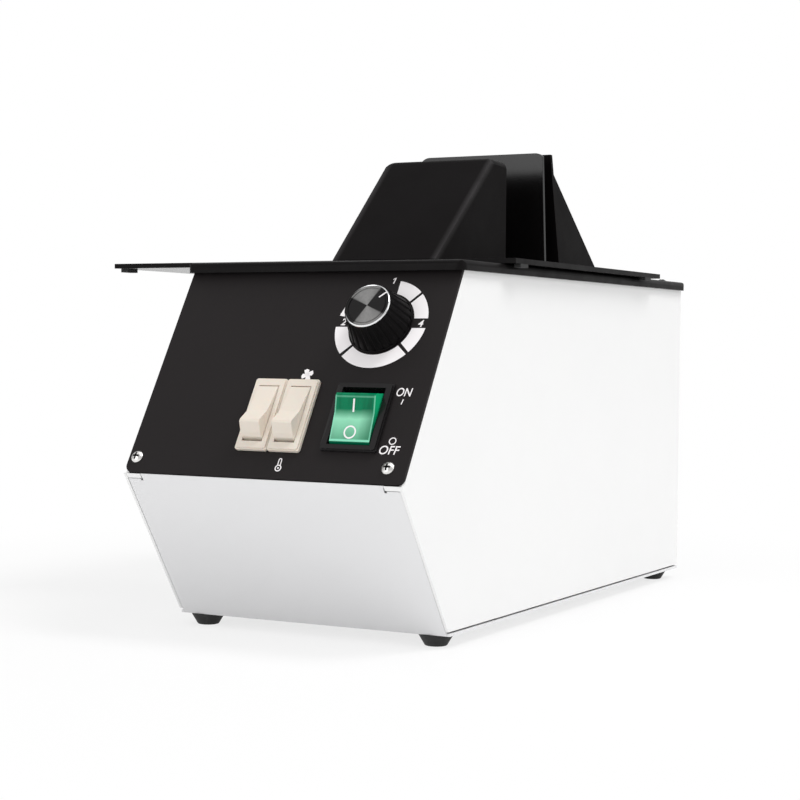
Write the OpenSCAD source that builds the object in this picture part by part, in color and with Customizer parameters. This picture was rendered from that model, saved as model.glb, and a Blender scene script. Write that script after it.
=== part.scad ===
/* [Body] */
// width of the steel body across the counter
body_w = 130; // [126:1:136]
// height of the nose edge over the counter
nose_z = 68; // [66:1:70]
// height where the panel slope meets the lid
top_z = 152.2; // [151:0.2:153]
// distance from the nose edge back to the rear wall
body_l = 314; // [306:1:322]
// set-back of the bottom front edge behind the nose edge
chin = 42.4; // [40:0.2:44]
// sheet thickness of the body
sheet = 1.2; // [1:0.1:1.4]

/* [Lid] */
// how far the lid stands out past the body
lid_out = 2; // [1.8:0.1:2.4]
// total height of the lid with its lip
lid_h = 4.4; // [4.2:0.1:4.8]
// radius of the lid's top edge
lid_r = 2.4; // [1.6:0.2:2.6]

/* [Sliding tray] */
// depth of the tray plate front to back
tray_w = 176; // [170:1:180]
// thickness of the tray plate
tray_t = 2.2; // [1.8:0.1:2.6]
// travel of the tray between its stops
travel = 65; // [60:1:68]

/* [Hood] */
// width of the slot that takes the spectacle frame
slot_w = 31; // [28:0.5:33]
// half width of the front hood
front_half = 28; // [26:0.5:30]
// height of the hood ridge over the tray
hood_h = 50; // [46:0.5:54]
// wall thickness of the moulded hood
hood_t = 2.2; // [1.8:0.1:2.6]

/* [Controls] */
// diameter of the dial knob at its base
knob_d = 28; // [25:0.5:28.5]
// height of the dial knob over the panel
knob_h = 14; // [12:0.5:16]
// how far a rocker swings
rock = 18; // [14:1:18]

/* [Fan] */
// depth of the fan
fan_h = 38; // [32:1:40]
// number of fan blades
blades = 5; // [4:1:7]

/* [Hidden] */
$fn = 48;
foot_h = 5;
base_z = foot_h;
nose_y = -157.5;
back_y = nose_y + body_l;
half_w = body_w / 2;
panel_rise = top_z - nose_z;
panel_run = 50.4;
panel_l = sqrt(panel_rise * panel_rise + panel_run * panel_run);
tilt = atan2(panel_rise, panel_run);
chin_y = nose_y + chin;
clear = 0.2;
pan_edge = 2;
panel_t = 1.5;
lid_t = 2;
lid_x = half_w + lid_out;
lid_f = nose_y + 47;
lid_b = back_y + lid_out;
lid_top = top_z + lid_h;
lid_in = lid_top - lid_t;
lip_t = lid_out - clear;
tray_x0 = -(lid_x + travel + 5);
tray_x1 = lid_x + 4;
tray_l = tray_x1 - tray_x0;
tray_y0 = -68.5;
tray_y1 = tray_y0 + tray_w;
tray_z = lid_top + 0.1;
tray_top = tray_z + tray_t;
slot_y = 14.5;
slot_y1 = slot_y + slot_w;
win_half = 24;
baffle_y = slot_y1;
wall_y = baffle_y + 12;
hood_back = wall_y + 50;
hood_front = slot_y - 69;
boss_front = hood_front + 7;
hood_z = tray_top + hood_h;
fan_y = slot_y + slot_w / 2;
fan_z = base_z + sheet + 1;
fan_s = body_w - 11;
fan_bore = fan_s - 6;
fan_hole = fan_s - 14;
bolt = fan_s / 2 - 7;
duct_half = fan_s / 2 - 13.5;
screw_u = [-half_w + 4, half_w - 8.2];
screw_v = 7.6;
m3 = 3;
m4 = 4;
run = 0.06;
pin_y = [-61.5, 101.5];
pin_x = -45;
grille_t = 1.2;
dial_u = half_w - 29.93;
dial_v = 72.65;
knob_top = 20.2;
cap_d = 18.4;
shaft_d = 6;
green_u = half_w - 27.6;
beige_u = [-6.9, 8.2];
beige_w = 9.2;
green_w = 19;
open_v = 25.8;
switch_v = 29;
pivot_n = -2.2;
trunnion = 1.6;
duct_t = 0.8;
heat_z = fan_z + fan_h + duct_t + 14;
heat_h = 34;
rod_n = 6;
rod_pitch = 9;
rod_d = 3.2;
rod_x = duct_half - 13;
heat_half = duct_half - duct_t - 0.4;
rod_z = heat_h / 2 + 9;
foot_x = half_w - 9.5;
foot_y = [chin_y + 6.6, back_y - 12];
ear_w = 8;
ear_h = 2;
tab_w = 12;
tab_l = 34;
tab_y = [fan_y - fan_s / 2 - 24, fan_y + fan_s / 2 + 24];
tap = 0.05;

// place across the duct of one turn of the heating rod
function rod_y(i) = (i - (rod_n - 1) / 2) * rod_pitch;

// placing on the sloped panel: x across, y up the slope, z out of the panel
module on_panel() {
  translate([0, nose_y, nose_z]) rotate([tilt, 0, 0]) children();
}

// a profile given in (y, z) carried along x, centred
module along_x(len) {
  rotate([90, 0, 90]) linear_extrude(len, center = true) children();
}

// a profile given in (x, z) carried along y from y0
module along_y(y0, len) {
  translate([0, y0 + len, 0]) rotate([90, 0, 0]) linear_extrude(len) children();
}

// rectangle with round corners, centred, made of exact arcs
module round_rect(w, h, r) {
  square([w - 2 * r, h], center = true);
  square([w, h - 2 * r], center = true);
  for (sx = [-1, 1], sy = [-1, 1])
    translate([sx * (w / 2 - r), sy * (h / 2 - r)]) circle(r);
}

// rectangle from (x0, 0) to (x1, h) with its two upper corners round
module arch_rect(x0, x1, h, r) {
  translate([x0, 0]) square([x1 - x0, h - r]);
  translate([x0 + r, 0]) square([x1 - x0 - 2 * r, h]);
  for (x = [x0 + r, x1 - r])
    translate([x, h - r]) circle(r);
}

// slot with round ends, from x0 to x1 at y
module track(x0, x1, y, r) {
  for (x = [x0, x1])
    translate([x, y]) circle(r);
  translate([x0, y - r]) square([x1 - x0, 2 * r]);
}

// pan-head screw pointing down from z = 0, cross recess in the head
module screw(d, head_d, head_h, len) {
  difference() {
    intersection() {
      cylinder(d = head_d, h = head_h);
      translate([0, 0, head_h - head_d * 0.62]) sphere(d = head_d * 1.24);
    }
    for (a = [0, 90])
      rotate([0, 0, a]) translate([-head_d * 0.28, -0.4, head_h * 0.45])
        cube([head_d * 0.56, 0.8, head_h]);
  }
  translate([0, 0, -len]) cylinder(d = d, h = len + 0.1);
}

// countersunk screw pointing up, its head flush with z = 0
module countersunk(len) {
  difference() {
    cylinder(d1 = 5.6, d2 = m3, h = 1.3);
    translate([-1.4, -0.35, -1]) cube([2.8, 0.7, 1.5]);
  }
  translate([0, 0, 1.2]) cylinder(d = m3, h = len - 1.2);
}

// base pan: floor with intake louvres, chin sheet and nose flange in one folded sheet
module base_pan() color([0.84, 0.84, 0.84]) difference() {
  union() {
    translate([-half_w, chin_y, base_z])
      cube([body_w, back_y - chin_y, sheet]);
    along_x(body_w - 2 * sheet - 0.4) polygon([
      [chin_y, base_z], [nose_y, nose_z], [nose_y + sheet * 1.15, nose_z],
      [chin_y + sheet * 1.15, base_z]]);
    on_panel() translate([-half_w + sheet + 0.2, 0.6, -panel_t - sheet])
      cube([body_w - 2 * sheet - 0.4, 13.4, sheet]);
    translate([-half_w + sheet + clear, back_y - sheet - clear - sheet, base_z])
      cube([body_w - 2 * sheet - 2 * clear, sheet, 14]);
  }
  for (i = [-6:6])
    translate([i * 8 - 2, fan_y - sqrt(fan_hole * fan_hole / 4 - i * i * 64) + 2, base_z - 1])
      cube([4, 2 * sqrt(fan_hole * fan_hole / 4 - i * i * 64) - 4, 4]);
  for (x = [-foot_x, foot_x], y = foot_y)
    translate([x, y, base_z - 1]) cylinder(d = m4 + 2 * tap, h = 4);
  for (x = [-1, 1], y = [-1, 1])
    translate([x * bolt, fan_y + y * bolt, base_z - 1])
      cylinder(d = m4 + 2 * tap, h = 4);
  on_panel() for (x = screw_u)
    translate([x, screw_v, -6]) cylinder(d = m3 + 2 * tap, h = 8);
  for (s = [-1, 1], y = tab_y)
    translate([s * (half_w - tab_w / 2), y, base_z - 1]) cylinder(d = m3 + 2 * tap, h = 4);
  for (s = [-1, 1]) {
    translate([s * (half_w - ear_w / 2) - ear_w / 2 - 0.3, nose_y - 1, nose_z - ear_h - 0.2])
      cube([ear_w + 0.6, 4, ear_h + 0.21]);
    translate([s * (half_w - ear_w) - 0.6, nose_y - 1, nose_z - ear_h - 0.9]) cube([1.2, 5, 2]);
  }
}

// strip of the chin plane just below the nose, as tall as the shell's ears
module ear_profile() {
  low = nose_z - ear_h;
  low_y = nose_y + chin * ear_h / (nose_z - base_z);
  polygon([[low_y, low], [nose_y, nose_z - 0.1], [nose_y + sheet * 1.15, nose_z - 0.1],
           [low_y + sheet * 1.15, low]]);
}

// side profile of the body between the base pan's edge and the lid
module side_profile(top) {
  run_up = (top - nose_z) * panel_run / panel_rise;
  back = panel_t / sin(tilt);
  low = base_z + pan_edge;
  low_y = chin_y - pan_edge * chin / (nose_z - base_z);
  polygon([[low_y, low], [nose_y, nose_z - 0.4], [nose_y + back, nose_z],
           [nose_y + back + run_up, top], [back_y, top], [back_y, low]]);
}

// body shell: two sides and the rear wall with flanges behind the panel and below the lid
module body_shell() color([0.93, 0.93, 0.92]) difference() {
  union() {
    intersection() {
      along_x(body_w) side_profile(lid_in);
      union() {
        for (s = [-1, 1])
          translate([s * (half_w - sheet / 2) - sheet / 2, nose_y - 1, 0])
            cube([sheet, body_l + 2, lid_top]);
        translate([-half_w, back_y - sheet, 0]) cube([body_w, sheet, lid_top]);
        for (s = [-1, 1])
          translate([s * (half_w - 5) - 5, nose_y, lid_in - sheet])
            cube([10, body_l, sheet]);
        translate([-half_w, back_y - 10, lid_in - sheet]) cube([body_w, 10, sheet]);
        on_panel() for (s = [-1, 1])
          translate([s * (half_w - 4.5) - 4.5, 15, -panel_t - sheet])
            cube([9, panel_l - 20, sheet]);
      }
    }
    for (s = [-1, 1], y = tab_y)
      translate([s * (half_w - tab_w / 2 - 0.5) - tab_w / 2, y - tab_l / 2, base_z + sheet])
        cube([tab_w, tab_l, sheet]);
    for (s = [-1, 1])
      translate([s * (half_w - ear_w / 2), 0, 0]) along_x(ear_w) ear_profile();
  }
  for (s = [-1, 1], y = tab_y)
    translate([s * (half_w - tab_w / 2), y, base_z]) cylinder(d = m3 + 2 * tap, h = 5);
  translate([-30, back_y - 2, 34]) cube([27.6, 4, 20.4]);
  for (x = [-36.2, 3.8])
    translate([x, back_y, 44.2]) rotate([90, 0, 0])
      cylinder(d = m3 + 2 * tap, h = 8, center = true);
  for (i = [0:6])
    translate([18, back_y - 2, 96 + i * 5]) cube([34, 4, 2]);
  for (x = [-1, 1], y = [back_y - 5])
    translate([x * 56, y, lid_in - 4]) cylinder(d = m3 + 2 * tap, h = 6);
}

// black faceplate on the slope with its cut-outs
module control_panel() color([0.14, 0.13, 0.13]) on_panel() difference() {
  translate([0, 0, -panel_t]) linear_extrude(panel_t) difference() {
    translate([-half_w, 0.6]) union() {
      translate([0, 3.5]) square([body_w, panel_l - 1.6]);
      translate([3.5, 0]) square([body_w - 7, panel_l]);
      for (x = [3.5, body_w - 3.5])
        translate([x, 3.5]) circle(3.5);
    }
    translate([dial_u, dial_v]) circle(d = 7.6);
    for (x = beige_u)
      translate([x, switch_v]) square([beige_w + 3.6, 28.4], center = true);
    translate([green_u, switch_v]) square([green_w + 3.6, 28.4], center = true);
    for (x = screw_u)
      translate([x, screw_v]) circle(d = m3 + 2 * tap);
  }
}

// two pan-head screws at the panel's lower corners
module panel_screws() color([0.62, 0.62, 0.63]) on_panel()
  for (x = screw_u)
    translate([x, screw_v, 0]) screw(m3, 5.4, 1.7, 7);

// shallow black lid with a down-turned lip and a softly rounded top edge
module lid() color([0.13, 0.12, 0.13]) difference() {
  intersection() {
    translate([0, (lid_f + lid_b) / 2, top_z]) linear_extrude(lid_h)
      round_rect(2 * lid_x, lid_b - lid_f, 4);
    translate([0, 0, top_z]) along_y(lid_f - 1, lid_b - lid_f + 2)
      arch_rect(-lid_x, lid_x, lid_h, lid_r);
    translate([0, 0, top_z]) along_x(2 * lid_x + 2)
      arch_rect(lid_f, lid_b, lid_h, lid_r);
  }
  translate([-half_w - clear, lid_f + lip_t, top_z - 1])
    cube([body_w + 2 * clear, lid_b - lid_f - 2 * lip_t, lid_h - lid_t + 1]);
  translate([0, 0, lid_in - 1]) linear_extrude(lid_t + 2) {
    translate([-win_half - 3, slot_y - 1]) square([2 * win_half + 6, slot_w + 2]);
    for (y = pin_y)
      track(pin_x, pin_x + travel, y, 2.6);
    for (x = [-1, 1])
      translate([x * 56, back_y - 5]) circle(d = m3 + 2 * tap);
  }
}

// two screws that hold the lid's rear edge
module lid_screws() color([0.62, 0.62, 0.63])
  for (x = [-1, 1])
    translate([x * 56, back_y - 5, lid_top]) screw(m3, 5.4, 1.6, 7);

// punched steel grille under the lid's outlet
module outlet_grille() color([0.55, 0.56, 0.57])
  translate([0, 0, lid_in - grille_t]) linear_extrude(grille_t) difference() {
    translate([-win_half - 9, slot_y - 7]) square([2 * win_half + 18, slot_w + 14]);
    for (i = [-5:5], j = [0:5])
      translate([i * 4.6, slot_y + 4 + j * 4.6 + 0.2]) circle(1.7);
  }

// four tapered rubber feet
module feet() color([0.08, 0.08, 0.08])
  for (x = [-foot_x, foot_x], y = foot_y)
    translate([x, y, 0]) difference() {
      cylinder(d1 = 9, d2 = 15, h = foot_h);
      translate([0, 0, -1]) cylinder(d = 6.6, h = 3);
      cylinder(d = m4 + 2 * tap, h = foot_h + 1);
    }

// foot screws, their heads sunk in the rubber
module foot_screws() color([0.6, 0.6, 0.6])
  for (x = [-foot_x, foot_x], y = foot_y)
    translate([x, y, 0]) {
      translate([0, 0, 0.5]) cylinder(d = 6, h = 1.5);
      translate([0, 0, 1.9]) cylinder(d = m4, h = base_z + sheet + 1.6);
      translate([0, 0, base_z + sheet]) cylinder(d = 7.6, h = 2.6, $fn = 6);
    }

// sliding tray plate with two windows
module slide_tray() color([0.15, 0.13, 0.14]) difference() {
  translate([tray_x0, tray_y0, tray_z]) cube([tray_l, tray_w, tray_t]);
  translate([0, 0, tray_z - 1]) linear_extrude(tray_t + 2) {
    translate([-win_half, slot_y]) square([2 * win_half, slot_w]);
    translate([-travel - win_half, slot_y]) square([2 * win_half - 4, slot_w]);
    for (y = pin_y)
      translate([pin_x, y]) circle(d = m3 + 2 * tap);
    for (x = [-1, 1], y = [boss_front, slot_y - 7])
      translate([x * 18, y]) circle(d = m3 + 2 * tap);
    for (x = [-1, 1], y = [wall_y + 8, hood_back - 8])
      translate([x * 22, y]) circle(d = m3 + 2 * tap);
    for (x = [-1, 1])
      translate([x * 29.5, baffle_y + 6]) circle(d = m3 + 2 * tap);
  }
  for (x = [-18, 18], y = [boss_front, slot_y - 7])
    translate([x, y, tray_z - 0.01]) cylinder(d1 = 5.8, d2 = 3, h = 1.4);
  for (x = [-22, 22], y = [wall_y + 8, hood_back - 8])
    translate([x, y, tray_z - 0.01]) cylinder(d1 = 5.8, d2 = 3, h = 1.4);
  for (y = pin_y)
    translate([pin_x, y, tray_top - 1.4]) cylinder(d1 = 3, d2 = 5.9, h = 1.42);
}

// stop pads under the tray's ends
module tray_pads() color([0.07, 0.07, 0.07])
  for (y = [tray_y0 + 5, tray_y1 - 21]) {
    translate([tray_x0, y, tray_z - 1.6]) cube([4, 8, 1.6]);
    translate([tray_x1 - 3.2, y, tray_z - 1.6]) cube([3.2, 8, 1.6]);
  }

// shoulder pins that run in the lid's slots, with washers below
module guide_pins() color([0.62, 0.62, 0.63])
  for (y = pin_y)
    translate([pin_x, y, 0]) {
      translate([0, 0, lid_in - 0.4]) cylinder(d = 5, h = tray_z - lid_in + 0.4);
      translate([0, 0, lid_in - 1.9]) cylinder(d = 9, h = 1.6);
      translate([0, 0, tray_z - 0.1]) cylinder(d = m3, h = tray_t + 0.1);
      translate([0, 0, tray_top - 1.3]) cylinder(d1 = m3, d2 = 5.6, h = 1.3);
    }

// plan of the front hood shrunk by g: a little narrower at its front
module hood_plan(g) {
  polygon([[-front_half + 2 + g, hood_front - 1], [front_half - 2 - g, hood_front - 1],
           [front_half - g, slot_y + 1], [-front_half + g, slot_y + 1]]);
}

// front half of the hood: upright sides, roof sloping up to the slot
module front_hood() color([0.14, 0.12, 0.12]) {
  depth = slot_y - hood_front;
  ridge = depth - 14;
  lip = 1;
  roof = atan2(hood_h - lip, ridge);
  bend = 5;
  difference() {
    union() {
      difference() {
        intersection() {
          translate([0, hood_front, tray_top]) along_x(2 * front_half + 2) polygon(concat(
            [[0, 0], [0, lip]],
            [for (i = [0:5]) [ridge + bend * tan(roof / 2) + bend * cos(90 + roof * (1 - i / 5)),
                              hood_h - bend + bend * sin(90 + roof * (1 - i / 5))]],
            [[depth, hood_h], [depth, 0]]));
          translate([0, 0, tray_top]) along_y(hood_front - 1, depth + 2)
            arch_rect(-front_half, front_half, hood_h, 4.5);
          linear_extrude(tray_top + hood_h + 1) hood_plan(0);
        }
        intersection() {
          translate([0, hood_front, tray_top]) along_x(2 * front_half) polygon([
            [hood_t + 1, -1], [hood_t + 1, 0.4], [ridge - 0.2, hood_h - 1.2 - hood_t],
            [ridge + 2.8, hood_h - hood_t], [depth - hood_t, hood_h - hood_t],
            [depth - hood_t, -1]]);
          linear_extrude(tray_top + hood_h + 1) hood_plan(hood_t);
        }
      }
      for (x = [-18, 18], y = [boss_front, slot_y - 7])
        translate([x, y, tray_top]) cylinder(d = 6, h = y > 0 ? hood_h - 1 : 3.4);
    }
    for (x = [-18, 18], y = [boss_front, slot_y - 7])
      translate([x, y, tray_top - 1]) cylinder(d = m3 + 2 * tap, h = y > 0 ? 9 : 3.2);
  }
}

// wedge of the rear hood grown by g, its sides flaring towards the base
module rear_wedge(g, down) {
  depth = hood_back - wall_y;
  intersection() {
    translate([0, wall_y, tray_top]) along_x(100) polygon([
      [g, -down], [g, hood_h - 1 - g], [2.6, hood_h - 1 - g],
      [depth - g * 1.3, 3 - g * 0.6], [depth - g * 1.3, -down]]);
    translate([0, 0, tray_top]) along_y(wall_y - 1, depth + 4) polygon([
      [-36.5 + g, -down], [36.5 - g, -down], [36.5 - g, 0], [31.6 - g, hood_h],
      [-31.6 + g, hood_h], [-36.5 + g, 0]]);
  }
}

// rear half of the hood: upright front wall and a flared wedge behind it
module rear_hood() color([0.17, 0.16, 0.16]) difference() {
  union() {
    difference() {
      union() {
        rear_wedge(0, 0);
        translate([0, 0, tray_top]) along_y(wall_y, 2.4)
          intersection() {
            arch_rect(-37.2, 37.2, hood_h + 7, 6);
            polygon([[-37.2, 0], [37.2, 0], [31.6, hood_h + 7.5], [-31.6, hood_h + 7.5]]);
          }
      }
      intersection() {
        rear_wedge(hood_t, 1);
        translate([-50, wall_y + 2.4, 0]) cube([100, 100, 300]);
      }
    }
    for (x = [-22, 22], y = [wall_y + 8, hood_back - 8])
      translate([x, y, tray_top]) cylinder(d = 6, h = y < wall_y + 10 ? 30 : 5.4);
  }
  for (x = [-22, 22], y = [wall_y + 8, hood_back - 8])
    translate([x, y, tray_top - 1]) cylinder(d = m3 + 2 * tap, h = 5.2);
}

// upright slot baffle with rounded upper corners and a foot tab
module slot_baffle() color([0.2, 0.2, 0.21]) {
  translate([0, 0, tray_top]) along_y(baffle_y, 2) intersection() {
    arch_rect(-34.6, 34.6, hood_h + 6.6, 6);
    polygon([[-34.6, 0], [34.6, 0], [32.6, hood_h + 7], [-32.6, hood_h + 7]]);
  }
  difference() {
    translate([-34, baffle_y + 1, tray_top]) cube([68, 10, 1.5]);
    for (x = [-1, 1])
      translate([x * 29.5, baffle_y + 6, tray_top - 1])
        cylinder(d = m3 + 2 * tap, h = 4);
  }
}

// spacer posts between the baffle and the rear wall
module baffle_spacers() color([0.1, 0.1, 0.1])
  for (x = [-1, 1])
    translate([x * 20, baffle_y + 2, tray_top + 36]) rotate([-90, 0, 0])
      cylinder(d = 7, h = wall_y - baffle_y - 2);

// screws that hold the hood pieces from below the tray
module hood_screws() color([0.6, 0.6, 0.6]) {
  for (x = [-1, 1], y = [boss_front, slot_y - 7])
    translate([x * 18, y, tray_z]) countersunk(y > 0 ? 8 : 3.8);
  for (x = [-1, 1], y = [wall_y + 8, hood_back - 8])
    translate([x * 22, y, tray_z]) countersunk(6);
  for (x = [-1, 1])
    translate([x * 29.5, baffle_y + 6, tray_top + 1.5]) screw(m3, 5.4, 1.6, 3.4);
}

// fluted dial knob with a hollow underside, an index ridge up the slope
module dial_knob() color([0.11, 0.11, 0.11]) on_panel()
  translate([dial_u, dial_v, 0]) difference() {
    union() {
      translate([0, 0, 0.5]) cylinder(d = knob_d, h = 1);
      translate([0, 0, 1.4]) cylinder(d1 = knob_d - 0.4, d2 = knob_top, h = knob_h - 1.8);
    }
    for (i = [0:23])
      rotate([0, 0, i * 15 + 7.5]) translate([(knob_d - 0.4) / 2 + 0.35, 0, 1.6])
        rotate([0, -atan2((knob_d - 0.4 - knob_top) / 2, knob_h - 1.8), 0])
          cylinder(r = 0.8, h = knob_h + 2);
    difference() {
      cylinder(d = 20, h = 9);
      cylinder(d = 10, h = 10);
    }
    translate([0, 0, -1]) cylinder(d = shaft_d + 2 * tap, h = 10.5);
    translate([0, 0, knob_h - 1.2]) cylinder(d = cap_d, h = 2);
  }

// spun metal disc let into the knob's face
module knob_cap() color([0.75, 0.76, 0.77]) on_panel()
  translate([dial_u, dial_v, knob_h - 1.2]) difference() {
    cylinder(d = cap_d, h = 1.2);
    translate([0, 0, 0.9]) difference() {
      cylinder(d = cap_d - 1.4, h = 1);
      cylinder(d = cap_d - 2.6, h = 1);
    }
  }

// steel shaft between knob and thermostat
module dial_shaft() color([0.7, 0.7, 0.72]) on_panel()
  translate([dial_u, dial_v, -8]) cylinder(d = shaft_d, h = 17.5);

// capillary thermostat behind the panel
module thermostat() color([0.75, 0.72, 0.6]) on_panel()
  translate([dial_u, dial_v, 0]) {
    difference() {
      union() {
        translate([-17, -15, -24]) cube([34, 30, 20]);
        translate([0, 0, -4.1]) cylinder(d = 12, h = 2.5);
      }
      translate([0, 0, -8.3]) cylinder(d = shaft_d + 2 * run, h = 10);
    }
    for (x = [-10, 10])
      translate([x - 3, -0.4, -31]) cube([6, 0.8, 7.5]);
  }

// switch housing: raised bezel in front, hollow box with pivot bores behind
module switch_body(bez_w, bez_h, rock_w) {
  box_w = rock_w + 3.2;
  translate([0, switch_v, 0]) {
    difference() {
      union() {
        linear_extrude(1.3) round_rect(bez_w, bez_h, 1);
        linear_extrude(2) round_rect(bez_w - 1, bez_h - 1, 1);
        translate([-box_w / 2, -14.1, -17]) cube([box_w, 28.2, 17.1]);
      }
      translate([-rock_w / 2 - clear, -open_v / 2, -13])
        cube([rock_w + 2 * clear, open_v, 20]);
      translate([0, 0, pivot_n]) rotate([0, 90, 0])
        cylinder(r = trunnion + run, h = rock_w + 2.2, center = true);
    }
    for (y = [-8, 0, 8])
      translate([-3.1, y - 0.4, -25]) cube([6.2, 0.8, 8.5]);
  }
}

// rocker with its pivot line at the origin, raised towards its lower end
module rocker_solid(w, high, low) {
  along_x(w) polygon([
    [-11.9, 0.6], [-11.4, low - 2.2], [-10.4, low - 0.5], [-7.2, high], [-6, high],
    [0, high - 3.2], [12.1, 4.5], [12.65, 3.9], [12.65, 1], [4.4, -5.4], [-4.4, -5.4]]);
  rotate([0, 90, 0]) cylinder(r = trunnion, h = w + 2, center = true);
}

// housing of the heat selector
module heat_switch_body() color([0.9, 0.87, 0.82]) on_panel()
  translate([beige_u[0], 0, 0]) switch_body(14.9, 32.8, beige_w);

// housing of the blower selector
module fan_switch_body() color([0.9, 0.87, 0.82]) on_panel()
  translate([beige_u[1], 0, 0]) switch_body(14.9, 32.8, beige_w);

// housing of the lit mains switch
module power_switch_body() color([0.07, 0.07, 0.07]) on_panel()
  translate([green_u, 0, 0]) switch_body(25.4, 30.5, green_w);

// beige rocker of the heat selector
module heat_rocker() color([0.91, 0.87, 0.82]) on_panel()
  translate([beige_u[0], switch_v, pivot_n]) rocker_solid(beige_w, 10, 7.4);

// beige rocker of the blower selector
module fan_rocker() color([0.91, 0.87, 0.82]) on_panel()
  translate([beige_u[1], switch_v, pivot_n]) rocker_solid(beige_w, 10, 7.4);

// one tooth of the mains rocker: crease at mid height, raised at its upper end
module power_rocker() color([0.1, 0.6, 0.4]) on_panel()
  translate([green_u, switch_v, pivot_n]) {
    along_x(green_w - 1) polygon([
      [11.6, 0.6], [11.1, 2.6], [7.9, 8.5], [7.1, 8.9], [6.4, 8.7], [0.5, 6.1],
      [-11.4, 3.9], [-12.1, 3.1], [-12.2, 0.6], [-4.4, -5.4], [4.4, -5.4]]);
    rotate([0, 90, 0]) cylinder(r = trunnion, h = green_w + 2, center = true);
  }

// square frame of the axial fan with four struts
module fan_frame() color([0.12, 0.12, 0.12]) translate([0, fan_y, fan_z]) {
  difference() {
    linear_extrude(fan_h) difference() {
      round_rect(fan_s, fan_s, 6);
      circle(d = fan_bore);
      for (x = [-1, 1], y = [-1, 1])
        translate([x * bolt, y * bolt]) circle(d = m4 + 2 * tap);
    }
  }
  for (a = [45:90:315])
    rotate([0, 0, a]) translate([18, -2, 0]) cube([fan_bore / 2 - 15, 4, 3]);
  cylinder(d = 42, h = 3);
}

// hub motor's fixed stator and axle
module fan_hub() color([0.6, 0.6, 0.6]) translate([0, fan_y, fan_z + 3]) {
  cylinder(d = 30, h = 14);
  cylinder(d = 4, h = fan_h - 7);
}

// fan wheel: cup over the motor with curved blades
module fan_rotor() color([0.1, 0.1, 0.1]) translate([0, fan_y, fan_z]) {
  difference() {
    translate([0, 0, 5]) cylinder(d = 40, h = fan_h - 8);
    translate([0, 0, 4]) cylinder(d = 34, h = fan_h - 11);
    cylinder(d = 4 + 2 * run, h = fan_h + 1);
  }
  for (i = [0:blades - 1])
    rotate([0, 0, i * 360 / blades]) translate([18.5, 0, 6 + (fan_h - 12) / 2])
      rotate([38, 0, 0]) translate([0, -18, -1]) cube([fan_bore / 2 - 22.5, 36, 2]);
}

// screws that hold the fan to the pan and the duct to the fan
module fan_screws() color([0.6, 0.6, 0.6])
  for (x = [-1, 1], y = [-1, 1])
    translate([x * bolt, fan_y + y * bolt, 0]) {
      translate([0, 0, base_z - 1.6]) cylinder(d = 7, h = 1.6);
      translate([0, 0, base_z - 0.1]) cylinder(d = m4, h = fan_h + 7);
      translate([0, 0, fan_z + fan_h + duct_t]) cylinder(d = 7.6, h = 2.4, $fn = 6);
    }

// outline of the duct from the fan up to the outlet, shrunk by g
module duct_form(g) {
  z0 = fan_z + fan_h;
  z1 = heat_z + heat_h + 8;
  z2 = lid_in - grille_t;
  intersection() {
    along_y(-80, 260) polygon([
      [-duct_half + g, z0 - g * 2], [duct_half - g, z0 - g * 2], [duct_half - g, z1],
      [win_half + 3 - g, z2 + g * 2],
      [-win_half - 3 + g, z2 + g * 2], [-duct_half + g, z1]]);
    along_x(200) polygon([
      [fan_y - duct_half + g, z0 - g * 2], [fan_y + duct_half - g, z0 - g * 2],
      [fan_y + duct_half - g, z1],
      [slot_y1 + 3 - g, z2 + g * 2], [slot_y - 3 + g, z2 + g * 2],
      [fan_y - duct_half + g, z1]]);
  }
}

// tapering air duct with a flange on the fan
module air_duct() color([0.7, 0.71, 0.72]) difference() {
  union() {
    duct_form(0);
    translate([0, fan_y, fan_z + fan_h]) linear_extrude(duct_t)
      round_rect(fan_s, fan_s, 6);
  }
  duct_form(duct_t);
  for (x = [-1, 1], y = [-1, 1])
    translate([x * bolt, fan_y + y * bolt, fan_z + fan_h - 1])
      cylinder(d = m4 + 2 * tap, h = 4);
  for (s = [-1, 1])
    translate([s * duct_half, fan_y, heat_z + heat_h / 2]) rotate([0, 90, 0])
      cylinder(d = m3 + 2 * tap, h = 8, center = true);
  for (i = [0, rod_n - 1])
    translate([-duct_half, fan_y + rod_y(i), heat_z + rod_z]) rotate([0, 90, 0])
      cylinder(d = rod_d + 1, h = 8, center = true);
}

// screws through the duct wall into the heater frame
module duct_screws() color([0.6, 0.6, 0.6])
  for (s = [-1, 1])
    translate([s * duct_half, fan_y, heat_z + heat_h / 2]) rotate([0, s * 90, 0])
      screw(m3, 5.4, 1.6, 6);

// insulating heater frame: two end boards, two long boards and two rod carriers
module heater_frame() color([0.78, 0.74, 0.66]) translate([0, fan_y, heat_z]) {
  difference() {
    union() {
      for (s = [-1, 1])
        translate([s * (duct_half - 3.5) - 1.5, -heat_half, 0]) cube([3, 2 * heat_half, heat_h]);
      for (s = [-1, 1])
        translate([-duct_half + 2, s * (heat_half - 1.5) - 1.5, 0])
          cube([2 * duct_half - 4, 3, heat_h]);
      for (s = [-1, 1])
        translate([s * (duct_half - 1.5) - 0.7, -8, 6]) cube([1.4, 16, heat_h - 12]);
      for (s = [-1, 1])
        translate([s * 18 - 1, 2 - heat_half, rod_z - 5]) cube([2, 2 * heat_half - 4, 10]);
    }
    for (s = [-1, 1])
      translate([s * (duct_half - 2), 0, heat_h / 2]) rotate([0, 90, 0])
        cylinder(d = m3 + 2 * tap, h = 12, center = true);
    for (i = [0:rod_n - 1])
      translate([0, rod_y(i), rod_z]) rotate([0, 90, 0])
        cylinder(d = rod_d + 2 * tap, h = 60, center = true);
    for (i = [0, rod_n - 1])
      translate([4 - duct_half, rod_y(i), rod_z]) rotate([0, 90, 0])
        cylinder(d = rod_d + 2 * tap, h = 12, center = true);
  }
}

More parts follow.
